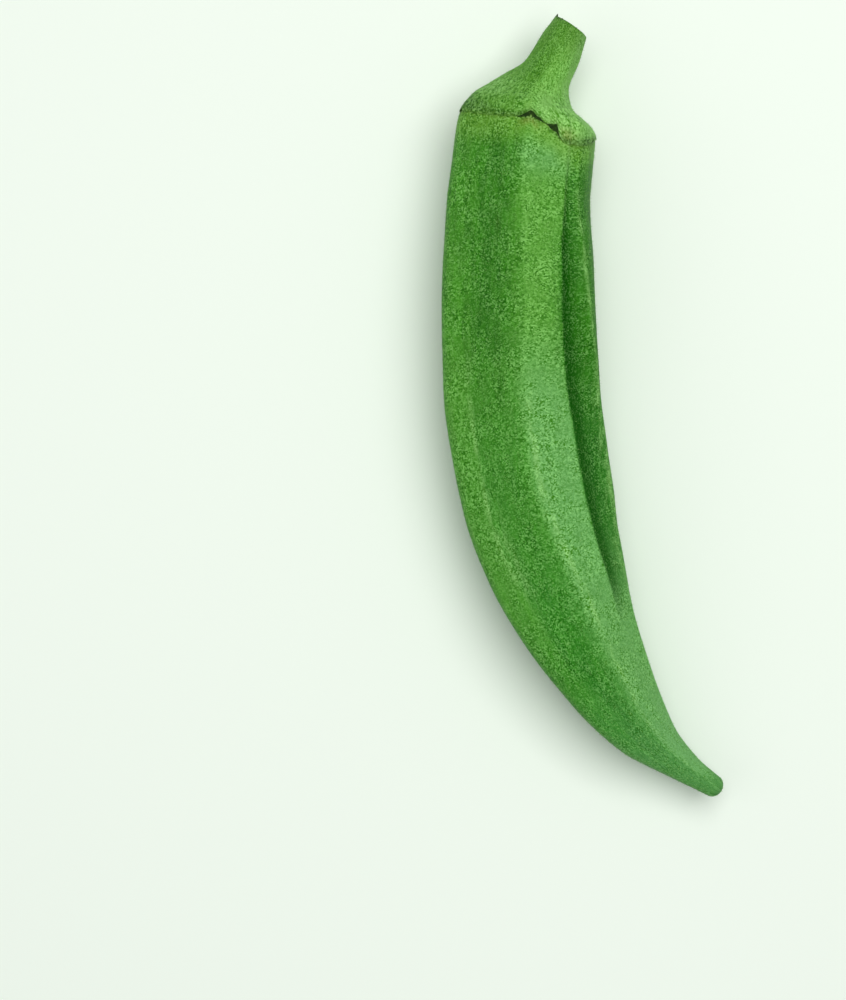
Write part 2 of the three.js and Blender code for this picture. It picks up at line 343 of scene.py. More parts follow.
def skin(s, degrees, shrink=1.0, forward=0.0, raised=0.0):
    """Points of the skin in millimetres, measured from the seam's centre."""
    scale = np.interp(s, FIT["s"], FIT["scale"])
    centre = np.interp(s, FIT["s"], FIT["centre"])
    on_pod = np.maximum(s, 0)
    height = along(UNDERSIDE_LIFT, on_pod) - PRESSED_FLAT - np.interp(on_pod, FIT["s"], FIT["lowest"])
    height = height + along(STEM_DROP, np.minimum(s, 0))
    angle = np.radians(degrees)
    reach = ribbed_radius(s, degrees) * scale + raised
    side = (reach * np.sin(angle) - centre * scale) * shrink
    up = reach * np.cos(angle) * shrink
    tip_x, tip_y = heading(s)
    x = along(SPINE_X, s) - tip_y * side + tip_x * forward
    y = along(SPINE_Y, s) + tip_x * side + tip_y * forward
    return np.stack((x, y, np.maximum(0, height + up)), -1)


def seam_place():
    """Where the frame holds the seam's centre, which puts the skin in the middle of the CAD box."""
    s, degrees = np.meshgrid(np.linspace(CUT_AT, TIP_AT, 300), np.arange(0, 360, 3.0), indexing="ij")
    body = skin(s, degrees).reshape(-1, 3)
    angles = np.radians(np.arange(0, 90, 15))
    tip = np.concatenate([skin(np.full(120, float(TIP_AT)), np.arange(0, 360, 3.0), math.cos(a),
                               TIP_LENGTH * math.sin(a)) for a in angles])
    points = np.concatenate((body, tip))
    middle = (points.min(0) + points.max(0)) / 2
    low, high = CAD_BOX
    return np.array(((low.x + high.x) / 2 / MM - middle[0], (low.y + high.y) / 2 / MM - middle[1], 0.0))


SEAM_AT = seam_place()


def wrapped(degrees):
    """Angles as -180 to 180."""
    return (np.asarray(degrees) + 180) % 360 - 180


def dipped(s, degrees, shrink):
    """Places moved along the spine near the seam, where the cap's margin dips, less so further in."""
    return s + along(SEAM_DIP, wrapped(degrees)) * along(SEAM_DIP_FADE, s) * shrink * shrink


def ripple(degrees, s, seed, turns, lengths, terms=14):
    """Smooth random unevenness over the skin, about -1 to 1, that closes on itself round the pod."""
    rng = np.random.default_rng(seed)
    total = np.zeros(np.broadcast(degrees, s).shape)
    for _ in range(terms):
        turn = rng.integers(turns[0], turns[1] + 1) * rng.choice((-1, 1))
        wave = 2 * np.pi / rng.uniform(*lengths)
        total += np.sin(np.radians(degrees) * turn + s * wave + rng.uniform(0, 2 * np.pi))
    return total / math.sqrt(terms)


def hidden_scar(middle, half_width, reach):
    """The table of one scar out of the photograph's sight, in the form of the two in sight."""
    shares = np.linspace(-1, 1, 9)
    rows = [(half_width * x, reach * (1 - x * x), 0.6 * reach * (1 - x * x)) for x in shares]
    return middle, np.array(rows)


SCARS = [(0, np.array(NOTCH_AND_BLOB, float))] + [hidden_scar(*scar) for scar in HIDDEN_SCARS]


def scar_reach(degrees, column=1):
    """How far the scars take the cap's margin back at each angle, or with column 2 reach over the pod."""
    reach = np.zeros(np.shape(degrees))
    for middle, rows in SCARS:
        here = np.interp(wrapped(degrees - middle), rows[:, 0], rows[:, column], left=0, right=0)
        reach = np.maximum(reach, here)
    return reach


def closed_mesh(name, rings, marks):
    """A closed skin over rings of points in millimetres, with its marks as point attributes."""
    rows, around, _ = rings.shape
    ends = np.stack((rings[0].mean(0), rings[-1].mean(0)))
    points = (np.concatenate((rings.reshape(-1, 3), ends)) + SEAM_AT) * MM
    i = np.arange(around)
    j = (i + 1) % around
    near = (np.arange(rows - 1) * around)[:, None]
    quads = np.stack((near + i, near + around + i, near + around + j, near + j), -1).reshape(-1, 4)
    first, last, end = rows * around, rows * around + 1, (rows - 1) * around
    fans = [(first, int(a), int(b)) for a, b in zip(i, j)]
    fans += [(last, end + int(b), end + int(a)) for a, b in zip(i, j)]
    mesh = bpy.data.meshes.new(name)
    mesh.from_pydata(points.tolist(), [], quads.tolist() + fans)
    mesh.polygons.foreach_set("use_smooth", np.ones(len(mesh.polygons), bool))
    for key, values in marks.items():
        add_mark(mesh, key, values)
    mesh.update()
    return mesh


def add_mark(mesh, key, values):
    """A float or vector attribute on every point. The two end points take the mean of their ring."""
    vector = values.ndim == 3
    flat = values.reshape(-1, 3) if vector else values.reshape(-1)
    whole = np.concatenate((flat, values[:1].mean(1), values[-1:].mean(1)))
    attribute = mesh.attributes.new(key, "FLOAT_VECTOR" if vector else "FLOAT", "POINT")
    attribute.data.foreach_set("vector" if vector else "value", whole.astype(np.float32).reshape(-1))


def add_object(name, data, materials=()):
    """A new object in the scene, with its materials."""
    holder = bpy.data.objects.new(name, data)
    bpy.context.scene.collection.objects.link(holder)
    for material in materials:
        data.materials.append(material)
    return holder


def ramp(value, low, high):
    """A soft step from 0 below low to 1 above high."""
    t = np.clip((value - low) / (high - low), 0, 1)
    return t * t * (3 - 2 * t)


def fade(s, *points):
    """How strong a mark is along the spine, through the (place, strength) pairs given."""
    return along(points, s)


def skin_place(s, degrees):
    """A place on a straight cylinder about as thick as the pod, for patterns that follow the skin."""
    angle, radius = np.radians(degrees), 10
    return np.stack((radius * np.sin(angle), radius * np.cos(angle), s), -1)


def seam_marks(seam_distance, degrees, scar_edge):
    """Masks along the seam: olive stains at the scars, painted shade in the soft fold under the margin and
    round the scars, and the younger skin beside it.
    """
    angle = wrapped(degrees)
    outer = ramp(-angle, 25, 60)
    below_scar = bump(angle, -2, 7) * bump(seam_distance, 1.0, 0.7)
    beside_blob = bump(angle, 30, 8) * bump(seam_distance, -0.9, 0.8)
    lip = 0.3 * bump(seam_distance, 0, 0.4)
    # Painted shade in the soft fold under the cap's margin, wider on the outer side; the halo is painted
    # shade round the scars.
    depth = ((-120, 0.7), (-80, 1), (-14, 1), (0, 0.1), (14, 0.1), (32, 1), (60, 1), (120, 0.6))
    line = bump(seam_distance, -0.2 - 0.5 * outer, 0.45 + 0.3 * outer) * along(depth, angle)
    wide = 0.45 * bump(seam_distance, -1.3, 1.1) * outer
    wide = wide + 0.6 * bump(seam_distance, 0, 1.2) * bump(angle, 47, 12)
    halo = bump(scar_edge, 0.1, 0.5) * ramp(scar_reach(degrees) + scar_reach(degrees, 2), 0.1, 0.6)
    return {
        "stain": np.clip(below_scar + beside_blob + lip, 0, 1),
        "crease_shade_and_spots": np.clip(line + wide + 0.8 * halo, 0, 1),
        "near_seam": 1 - ramp(seam_distance, 1, 5),
    }


def spots(table, s, degrees):
    """A mask of the small marks in a table."""
    mask = np.zeros(np.shape(s))
    for place, angle, reach, width, strength in table:
        mask = np.maximum(mask, strength * bump(s, place, reach) * bump(wrapped(degrees - angle), 0, width))
    return mask


def pod_marks(s, degrees):
    """Masks for what runs along the pod: the strip by the top rib painted lighter where it faces the light,
    painted shade in the groove and on the face past it, pale lines with painted highlights, and the outer
    face.
    """
    face, _, t = faces_at(s, degrees)
    from_top, from_shoulder, from_bend = (wrapped(degrees - along(rib, s)) for rib in RIBS[:3])
    run_out = fade(s, (62, 0), (76, 1))
    from_shoulder = from_shoulder + fade(s, (13, 0), (20, 2.5), (30, 2.5), (39, 0))
    # Painted light: the strip from the top rib to the shoulder is made paler where it faces the light, and
    # fades towards the shoulder.
    band_end = from_shoulder - fade(s, (0, 6), (12, 5), (20, 0.5), (30, 0))
    band_start = from_top + fade(s, (0, 4), (6, 3), (12, 1.5), (56, 0.5), (66, 2), (76, 3.5), (92, 2))
    soft_end = 0.3 * ramp(band_end, -9, -2) * fade(s, (6, 0), (14, 1), (34, 1), (44, 0))
    early = 0.32 * ramp(band_start, -20, -6)
    early = early * fade(s, (8, 0.4), (16, 1), (36, 1), (45, 0.5), (62, 0.1), (75, 0.9), (87, 0.9), (99, 0))
    painted_light_band = (early + (1 - early) * ramp(band_start, -7, 3)) * (1 - soft_end)
    painted_light_band = painted_light_band * (1 - ramp(band_end, -2, 1) * (1 - run_out))
    painted_light_band = painted_light_band * (1 - ramp(from_top, 95, 120)) * fade(s, (-1, 0), (1, 1), (105, 1), (109, 0))
    cool_band = fade(s, (30, 0), (44, 0.9), (62, 1), (109, 0.9))
    # Painted shade: darkest on the groove face next to the shoulder, and on the near part of the face past
    # it.
    across = np.where(face == GROOVE_FACE, along(((0, 1), (0.3, 0.95), (0.65, 0.5), (1, 0.3)), t), 0)
    shade_beyond = np.where(face == GROOVE_FACE + 1, along(((0, 0.6), (0.3, 0.5), (0.6, 0)), t), 0)
    groove = across * ramp(from_shoulder, -1, 1.5) * fade(s, (6, 0), (12, 0.6), (20, 1), (69, 1), (79, 0))
    inwards = fade(s, (36, 0), (44, 4), (58, 5), (66, 4.5), (74, 0))
    # Painted highlight along the bend rib, where it turns away at the edge.
    bend_rib_highlight = bump((from_bend + inwards) / (1.5 + 0.8 * inwards), 0, 1)
    bend_rib_highlight = bend_rib_highlight * fade(s, (8, 0), (14, 0.7), (30, 1), (64, 1), (74, 0.3), (80, 0))
    top_line = bump(from_top, 1, 2.5) * fade(s, (34, 0), (44, 0.6), (60, 0.8), (90, 0.6), (104, 0))
    on_outer = face == OUTER_FACE
    outer_line = bump(t, 0.31, 0.025) * fade(s, (34, 0), (42, 0.8), (60, 0.8), (80, 0))
    # Painted sheen: a pale patch on the outer face.
    sheen_patch = bump(t, 0.38, 0.09) * bump(s, 64, 6)
    outer_line = on_outer * np.maximum(outer_line, 0.7 * sheen_patch)
    outer_tone = (1 - ramp(t, 0.26, 0.42)) * fade(s, (6, 0.3), (30, 0.4), (42, 1), (66, 1), (90, 0))
    outer_tone = np.maximum(outer_tone, 0.45 * fade(s, (32, 0), (42, 1), (58, 1), (72, 0)))
    outer_shade = bump(t, 0.6, 0.18) * fade(s, (0, 0), (5, 0.8), (28, 1), (38, 0.2), (60, 0))
    return {
        "crest": np.maximum(bump(t, 0, 0.10), bump(t, 1, 0.10)),
        "painted_light_band": painted_light_band,
        "fresh": painted_light_band * np.maximum(0.8 * bump(s, 6, 2.5), cool_band),
        "tip": fade(s, (84, 0), (92, 0.4), (99, 1)),
        "dark_spot": spots(DARK_SPOTS, s, degrees),
        "pale_spot": spots(PALE_SPOTS, s, degrees),
        "pale_lines_and_highlights": np.maximum(bend_rib_highlight, np.maximum(top_line, outer_line)),
        "outer_tone": on_outer * outer_tone,
        "outer_shade": on_outer * outer_shade,
        "groove": np.maximum(groove, shade_beyond * fade(s, (4, 0), (10, 0.8), (40, 0.8), (56, 0))),
    }


def cap_marks(s, degrees):
    """Masks for the cap and stem: painted shade on the outer half, the mealy places with the lit side painted
    paler, the stem, and the cut's rim.
    """
    angle = wrapped(degrees)
    edge_shift = fade(s, (-7, 0), (-3, 5))
    # Painted shade: the cap's and stem's outer side darker, away from the light.
    shaded = (1 - ramp(angle + edge_shift, -13, 5)) * (1 - 0.35 * ramp(-angle, 30, 80))
    shade_depth = fade(s, (-16, 0.6), (-13, 0.85), (-9, 1.15), (-6, 1.1), (-4, 0.9), (-1.5, 0.85))
    shoulder = bump(angle, -58, 22) * bump(s, -3.4, 1.3)
    # Painted light: the bend side of the cap and the stem made paler, as lit.
    lit_bend_side = ramp(angle, -4, 10) * ramp(s, -7, -1.5)
    lit_stem_side = 0.8 * ramp(angle, 15, 60) * (1 - ramp(s, -6, -3))
    return {
        "shaded": shaded * shade_depth,
        "mealy": np.maximum(np.maximum(shoulder, lit_bend_side), lit_stem_side),
        "up_stem": along(((-15, 1), (-9, 0)), s),
        "rim": bump(s, CUT_AT, 0.35) * (0.2 + 0.7 * ramp(-angle, 5, 45)),
    }


def colour4(colour):
    """A colour with its alpha, as a colour socket takes it. A socket is handed on as it is."""
    return colour if isinstance(colour, bpy.types.NodeSocket) else (*colour, 1.0)


class Board:
    """Adds nodes to one tree. An input given as a socket is linked, and any other value is set.

    A mark may be given as a socket or by its attribute's name, and a colour as a socket or three values.
    """

    def __init__(self, tree):
        self.tree = tree

    def add(self, kind, inputs=None, **settings):
        node = self.tree.nodes.new(kind)
        for key, value in settings.items():
            setattr(node, key, value)
        for key, value in (inputs or {}).items():
            if isinstance(value, bpy.types.NodeSocket):
                self.tree.links.new(value, node.inputs[key])
            else:
                node.inputs[key].default_value = value
        return node

    def math(self, operation, a, b):
        return self.add("ShaderNodeMath", {0: a, 1: b}, operation=operation).outputs[0]

    def times(self, a, b):
        return self.math("MULTIPLY", a, b)

    def inverse(self, value):
        return self.math("SUBTRACT", 1.0, value)

    def scaled(self, vector, by):
        return self.add("ShaderNodeVectorMath", {0: vector, 1: by}, operation="MULTIPLY").outputs[0]

    def mix(self, factor, a, b, blend="MIX"):
        values = {0: factor, 6: colour4(a), 7: colour4(b)}
        return self.add("ShaderNodeMix", values, data_type="RGBA", blend_type=blend).outputs[2]

    def tint(self, under, share, mark, over):
        """Lays a colour over another by a share of a mark."""
        mark = self.mark(mark) if isinstance(mark, str) else mark
        return self.mix(self.times(mark, share), under, over)

    def noise(self, vector, scale, detail=3.0, rough=0.55):
        values = {"Vector": vector, "Scale": scale, "Detail": detail, "Roughness": rough}
        return self.add("ShaderNodeTexNoise", values).outputs[0]

    def mark(self, name, output="Fac"):
        return self.add("ShaderNodeAttribute", attribute_name=name, attribute_type="GEOMETRY").outputs[output]

    def where(self):
        """Object coordinates, in metres."""
        return self.add("ShaderNodeTexCoord").outputs["Object"]

    def between(self, value, low, high):
        """A soft step of a value, from 0 at low to 1 at high."""
        values = {"Value": value, "From Min": low, "From Max": high}
        return self.add("ShaderNodeMapRange", values, clamp=True, interpolation_type="SMOOTHSTEP").outputs[0]


def new_group(name, inputs, outputs):
    """A shader node group with its sockets, and a board to fill it."""
    tree = bpy.data.node_groups.new(name, "ShaderNodeTree")
    for way, sockets in (("INPUT", inputs), ("OUTPUT", outputs)):
        for label, kind in sockets.items():
            tree.interface.new_socket(label, in_out=way, socket_type="NodeSocket" + kind)
    board = Board(tree)
    return tree, board, board.add("NodeGroupInput").outputs, board.add("NodeGroupOutput").inputs


def streaks_group():
    """Fine veins that run along the pod: noise drawn out along the spine."""
    tree, board, given, out = new_group(
        "Lengthwise Streaks", {"Place": "Vector", "Across": "Float", "Along": "Float"}, {"Fac": "Float"})
    stretch = board.add("ShaderNodeCombineXYZ", {0: given["Across"], 1: given["Across"], 2: given["Along"]})
    drawn = board.scaled(given["Place"], stretch.outputs[0])
    value = board.noise(drawn, 1.0, detail=4.0, rough=0.6)
    board.tree.links.new(board.between(value, 0.32, 0.68), out["Fac"])
    return tree


def mealy_group():
    """The mealy surface of downy skin: an even green with paler and darker specks, and their height."""
    tree, board, given, out = new_group(
        "Mealy Specks", {"Place": "Vector", "Scale": "Float", "Colour": "Color", "Amount": "Float"},
        {"Colour": "Color", "Height": "Float"})
    values = {"Vector": given["Place"], "Scale": given["Scale"]}
    cells = board.add("ShaderNodeTexVoronoi", values, feature="F1")
    dot = board.add("ShaderNodeSeparateColor", {0: cells.outputs["Color"]}).outputs[0]
    soft = board.noise(given["Place"], 2.6, detail=1.0)
    fine = board.math("ADD", board.times(dot, 0.75), board.times(soft, 0.25))
    patches = board.noise(given["Place"], 0.3, detail=2.0)
    values = {"Value": patches, "From Min": 0.35, "From Max": 0.6, "To Min": 0.4, "To Max": 1.1}
    strength = board.add("ShaderNodeMapRange", values).outputs[0]
    strength = board.times(strength, given["Amount"])
    pale = board.times(board.between(fine, 0.5, 0.85), strength)
    dark = board.times(board.between(fine, 0.5, 0.15), strength)
    colour = board.mix(pale, given["Colour"], SPECK_GLOW, "ADD")
    colour = board.mix(dark, colour, SPECK_SHADE, "MULTIPLY")
    board.tree.links.new(colour, out["Colour"])
    board.tree.links.new(fine, out["Height"])
    return tree


def mottle_group():
    """Soft patches of a second shade, longer along the pod than across it."""
    tree, board, given, out = new_group(
        "Soft Mottle", {"Place": "Vector", "Size": "Float"}, {"Fac": "Float"})
    drawn = board.scaled(given["Place"], (1.0, 1.0, 0.35))
    value = board.noise(drawn, given["Size"], detail=3.0)
    board.tree.links.new(board.between(value, 0.35, 0.65), out["Fac"])
    return tree


def shared_group(name):
    """One of the three skin patterns, made when it is first asked for."""
    makers = {"Lengthwise Streaks": streaks_group, "Mealy Specks": mealy_group, "Soft Mottle": mottle_group}
    return bpy.data.node_groups.get(name) or makers[name]()


def place_group(board, name, inputs):
    """Puts a shared pattern on a board and gives its outputs."""
    return board.add("ShaderNodeGroup", inputs, node_tree=shared_group(name)).outputs


def new_material(name, gloss=0.5):
    """A material of a given gloss, a board on its nodes, and its Principled shader."""
    material = bpy.data.materials.new(name)
    material.use_nodes = True
    board = Board(material.node_tree)
    shader = material.node_tree.nodes["Principled BSDF"]
    shader.inputs["Specular IOR Level"].default_value = gloss
    return material, board, shader


def set_surface(board, shader, colour, roughness, height, strength, distance):
    """Links colour, roughness and bump height to the shader."""
    links = board.tree.links
    links.new(colour, shader.inputs["Base Color"])
    links.new(roughness, shader.inputs["Roughness"])
    values = {"Height": height, "Strength": strength, "Distance": distance}
    links.new(board.add("ShaderNodeBump", values).outputs[0], shader.inputs["Normal"])


def set_skin(board, shader, place, colour, amount, smoothest, veins, relief):
    """Strews the mealy specks over a skin's colour, and takes roughness and bump from them and its veins."""
    values = {"Place": place, "Scale": SPECK_SCALE, "Colour": colour, "Amount": amount}
    specks = place_group(board, "Mealy Specks", values)
    roughness = board.math("ADD", board.times(specks["Height"], 0.12), smoothest)
    height = board.math("ADD", board.times(*veins), specks["Height"])
    strength, depth = relief
    set_surface(board, shader, specks["Colour"], roughness, height, strength, depth * MM)


def downy_sheen(shader, weight):
    """The soft rim of fine down."""
    shader.inputs["Sheen Weight"].default_value = weight
    shader.inputs["Sheen Roughness"].default_value = 0.5
    shader.inputs["Sheen Tint"].default_value = (0.5, 0.8, 0.4, 1.0)


def pod_material(colours):
    """The pod's skin: mottled and streaked green, a strip painted lighter where lit, painted shade in the
    groove, pale lines with painted highlights, an olive seam.
    """
    material, board, shader = new_material("pod_skin", LOW_GLOSS)
    place = board.mark("place", "Vector")
    mottle = place_group(board, "Soft Mottle", {"Place": place, "Size": 0.22})["Fac"]
    patches = place_group(board, "Soft Mottle", {"Place": place, "Size": 0.9})["Fac"]
    broad = place_group(board, "Lengthwise Streaks", {"Place": place, "Across": 0.55, "Along": 0.02})["Fac"]
    fine = place_group(board, "Lengthwise Streaks", {"Place": place, "Across": 2.6, "Along": 0.12})["Fac"]
    lengthwise = board.add("ShaderNodeSeparateXYZ", {0: place}).outputs[2]

    # In this chain painted light and shade come in with the lit strip by the top rib, the painted shade of
    # the groove and the painted highlights of the pale lines.
    colour = board.tint(colours.face, 0.24, board.math("ADD", mottle, broad), colours.deep_green_and_shade)
    for mark, share, over in (
            (patches, 0.36, colours.deep_green_and_shade), (fine, 0.26, colours.crest),
            (board.between(lengthwise, 30.0, 56.0), 0.26, colours.lower),
            ("outer_tone", 0.48, colours.crest), ("outer_shade", 0.3, colours.deep_green_and_shade),
            ("painted_light_band", 0.72, colours.crest), ("crest", 0.12, colours.crest), ("fresh", 0.3, colours.cool),
            ("tip", 0.22, colours.cool), ("near_seam", 0.5, colours.young), ("groove", 0.95, colours.deep_green_and_shade),
            (board.times(board.mark("pale_lines_and_highlights"), patches), 0.6, colours.meal),
            ("pale_spot", 0.5, colours.meal), ("dark_spot", 0.5, colours.crease_shade_and_spots)):
        colour = board.tint(colour, share, mark, over)
    colour = seam_tints(board, colour, mottle, colours)

    groove = board.mark("groove")
    amount = board.inverse(board.times(groove, 0.35))
    set_skin(board, shader, place, colour, amount, smoothest=0.48, veins=(fine, 0.5), relief=(0.6, 0.08))
    sheen = 0.025
    downy_sheen(shader, sheen)
    open_skin = board.inverse(groove)
    for name, most in (("Specular IOR Level", LOW_GLOSS), ("Sheen Weight", sheen)):
        board.tree.links.new(board.times(open_skin, most), shader.inputs[name])
    return material


def seam_tints(board, colour, mottle, colours):
    """The olive stains and the painted shade in the soft fold along the seam, on the pod's side and the cap's
    alike.
    """
    broken = board.math("ADD", board.times(mottle, 0.4), 0.6)
    colour = board.tint(colour, 0.65, "stain", colours.stain)
    return board.tint(colour, 0.9, board.times(board.mark("crease_shade_and_spots"), broken), colours.crease_shade_and_spots)


def cap_material(colours):
    """The cap's and stem's skin: mealy pale green, deeper up the stem, with painted shade on the outer side
    and painted light on the lit side.
    """
    material, board, shader = new_material("cap_skin", LOW_GLOSS)
    place = board.mark("place", "Vector")
    mottle = place_group(board, "Soft Mottle", {"Place": place, "Size": 0.5})["Fac"]
    fine = place_group(board, "Lengthwise Streaks", {"Place": place, "Across": 2.0, "Along": 0.25})["Fac"]

    colour = board.mix(board.mark("up_stem"), colours.cap, colours.stem)
    for mark, share, over in ((mottle, 0.22, colours.face), (fine, 0.22, colours.face),
                              ("shaded", 0.78, colours.shade), ("mealy", 0.4, colours.meal)):
        colour = board.tint(colour, share, mark, over)
    colour = seam_tints(board, colour, mottle, colours)
    colour = board.tint(colour, 0.75, "rim", colours.dry)

    amount = board.math("ADD", board.times(board.mark("shaded"), 0.3), 1.2)
    set_skin(board, shader, place, colour, amount, smoothest=0.5, veins=(fine, 0.8), relief=(0.7, 0.09))
    downy_sheen(shader, 0.06)
    return material


def pith_material(colours):
    """The cut face: pale pith, a ring of darker fibres and a browned rim."""
    material, board, shader = new_material("cut_pith")
    values = {"Vector": board.where(), "Scale": 2600.0}
    cells = board.add("ShaderNodeTexVoronoi", values, feature="DISTANCE_TO_EDGE")
    pores = board.between(cells.outputs[0], 0.0, 0.12)
    ring = board.mark("ring")
    colour = board.mix(ring, colours.pith, colours.stem)
    colour = board.tint(colour, 0.4, board.inverse(pores), colours.face)
    colour = board.tint(colour, 0.8, "rim", colours.dry)
    roughness = board.math("ADD", board.times(pores, 0.1), 0.6)
    set_surface(board, shader, colour, roughness, pores, 0.5, 0.05 * MM)
    return material


def dry_material(colours):
    """The dark dry remains of the calyx, papery and rough; on the flakes their darkness also stands in for
    shade.
    """
    material, board, shader = new_material("dry_calyx", 0.12)
    rough = board.noise(board.where(), 2500.0, detail=4.0, rough=0.7)
    colour = board.mix(board.between(rough, 0.35, 0.75), colours.dry, colours.husk)
    roughness = board.math("ADD", board.times(rough, 0.2), 0.65)
    set_surface(board, shader, colour, roughness, rough, 0.6, 0.08 * MM)
    return material


def down_material(colours):
    """The fine pale hairs."""
    material, board, shader = new_material("down", 0.3)
    tint = board.between(board.noise(board.where(), 900.0), 0.35, 0.65)
    colour = board.mix(tint, colours.down, colours.cap)
    board.tree.links.new(colour, shader.inputs["Base Color"])
    shader.inputs["Roughness"].default_value = 0.55
    return material


def floor_material(colours):
    """A plain pale matt floor."""
    material, board, shader = new_material("floor", 0.1)
    shader.inputs["Base Color"].default_value = colour4(colours.floor)
    shader.inputs["Roughness"].default_value = 0.9
    return material


def degrees_around(count):
    """The angles of evenly spread points round one ring."""
    return np.arange(count) * 360 / count


def pod_rings(sizes):
    """The capsule's rings: a dome hidden under the cap, the ribbed body, and the blunt tip."""
    around = degrees_around(sizes.around)
    uneven = sizes.undulation / MM
    rings, places = [], []

    def add(s, shrink=1.0, forward=0.0):
        at = dipped(np.full(sizes.around, float(s)), around, shrink)
        swell = uneven * ripple(around, at, sizes.seed, (1, 5), (9, 34))
        swell = swell * fade(at, (0, 0.2), (6, 1), (104, 1), (109, 0))
        rings.append(skin(at, around, shrink, forward, swell))
        places.append(at)

    for shrink in DOME_SHRINK:
        add(POD_STARTS, shrink, -SEAM_DOME * (1 - shrink * shrink))
    for s in np.linspace(POD_STARTS, TIP_AT, sizes.pod_rings):
        add(s)
    for angle in np.radians(TIP_ANGLES):
        add(TIP_AT, math.cos(angle), TIP_LENGTH * math.sin(angle))
    return np.array(rings), np.array(places), np.broadcast_to(around, (len(rings), sizes.around))


class OKRA_OT_pod(bpy.types.Operator):
    """Makes the ribbed capsule's skin, which stands for the solid pod"""

    bl_idname = "okra.pod"
    bl_label = "Ribbed capsule"

    def execute(self, context):
        rings, s, degrees = pod_rings(context.scene.okra_sizes)
        margin = along(SEAM_DIP, wrapped(degrees))
        past_scar = s - margin - scar_reach(degrees, 2)
        marks = {"place": skin_place(s, degrees), **pod_marks(s, degrees)}
        marks.update(seam_marks(s - margin, degrees, past_scar))
        bare = (rings[..., 2] < BARE_AT_TABLE) | (s < BARE_UNDER_SEAM + margin)
        marks["down"] = np.where(bare, 0.0, 0.8 - 0.7 * marks["groove"])
        mesh = closed_mesh("pod_skin", rings, marks)
        piece = add_object("pod_skin", mesh, [pod_material(context.scene.okra_colours)])
        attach(piece, "root")
        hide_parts("pod")
        return {"FINISHED"}


def cap_surface(s, degrees, edge, sizes):
    """What stands out of the cap's plain form: its lip, the ridges up the stem, and unevenness."""
    ridges = np.zeros(np.shape(degrees))
    for rib in RIBS:
        ridges = np.maximum(ridges, bump(wrapped(degrees - rib[0][1]), 0, 13))
    for k in range(7):
        ridges = np.maximum(ridges, 0.55 * bump(wrapped(degrees - 25 - k * 51), 0, 9))
    ridges = ridges * along(((-16, 0.35), (-9, 0.9), (-4, 1), (-1.5, 0.3), (0, 0)), s)
    lip = bump(edge - s, 0, 0.55)
    groove = bump(edge - s, 1.5, 0.5) * 0.6
    uneven = ripple(degrees, s, sizes.seed + 1, (1, 6), (3, 12))
    return (sizes.ridge * ridges + sizes.lip * (lip - groove) + 0.8 * sizes.undulation * uneven) / MM


def cap_rings(sizes):
    """The cap's rings: the cut face, the stem, the flared cap, its ragged lip, and the hollow below."""
    around = degrees_around(sizes.cap_around)
    slant = math.tan(math.radians(CUT_SLANT))
    ragged = 0.07 * ripple(around, np.zeros(sizes.cap_around), sizes.seed + 2, (9, 40), (5, 9))
    edge = 0.12 + ragged - scar_reach(around)
    rings, places = [], []

    def add(share, shrink=1.0, forward=0.0, raised=0.0):
        along_spine = CUT_AT + share * (edge - CUT_AT)
        at = dipped(along_spine, around, shrink)
        lean = slant * along(((-16, 1), (-12, 0)), along_spine)
        half = np.interp(at, FIT["s"], FIT["scale"]) * shrink
        slide = half * np.sin(np.radians(around)) * lean + forward
        extra = cap_surface(along_spine, around, edge, sizes) + raised
        rings.append(skin(at, around, shrink, slide, extra))
        places.append(along_spine)

    for shrink, sunk in CUT_RINGS:
        add(0, shrink, sunk)
    for share in np.linspace(0, 1, sizes.cap_rings) ** 0.9:
        add(share)
    add(1, 1.0, 0.02, -0.12)
    for shrink in HOLLOW_SHRINK:
        add(1, shrink, -SEAM_DOME * (1 - shrink * shrink) - HOLLOW_DEPTH)
    return np.array(rings), np.array(places), np.broadcast_to(around, (len(rings), sizes.cap_around))


class OKRA_OT_cap(bpy.types.Operator):
    """Makes the calyx cap and the cut stem, which stand for the solid stem cap"""

    bl_idname = "okra.cap"
    bl_label = "Cap and stem"

    def execute(self, context):
        sizes, colours = context.scene.okra_sizes, context.scene.okra_colours
        rings, s, degrees = cap_rings(sizes)
        marks = {"place": skin_place(s, degrees), **cap_marks(s, degrees)}
        marks.update(seam_marks(s, degrees, s + scar_reach(degrees)))
        outwards = np.minimum(1, np.arange(len(rings)) / len(CUT_RINGS))
        marks["ring"] = np.broadcast_to(outwards[:, None], s.shape)
        marks["down"] = np.where((s > -BARE_OVER_SEAM) | (s < CUT_AT + BARE_AT_CUT), 0.0, 0.8)
        mesh = closed_mesh("cap_and_stem", rings, marks)
        piece = add_object("cap_and_stem", mesh, [cap_material(colours), pith_material(colours)])
        cut_faces = len(CUT_RINGS) * sizes.cap_around
        slots = np.zeros(len(mesh.polygons), np.int32)
        slots[:cut_faces] = 1
        quads = (len(rings) - 1) * sizes.cap_around
        slots[quads:quads + sizes.cap_around] = 1
        mesh.polygons.foreach_set("material_index", slots)
        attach(piece, "root")
        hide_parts("stem_cap")
        return {"FINISHED"}


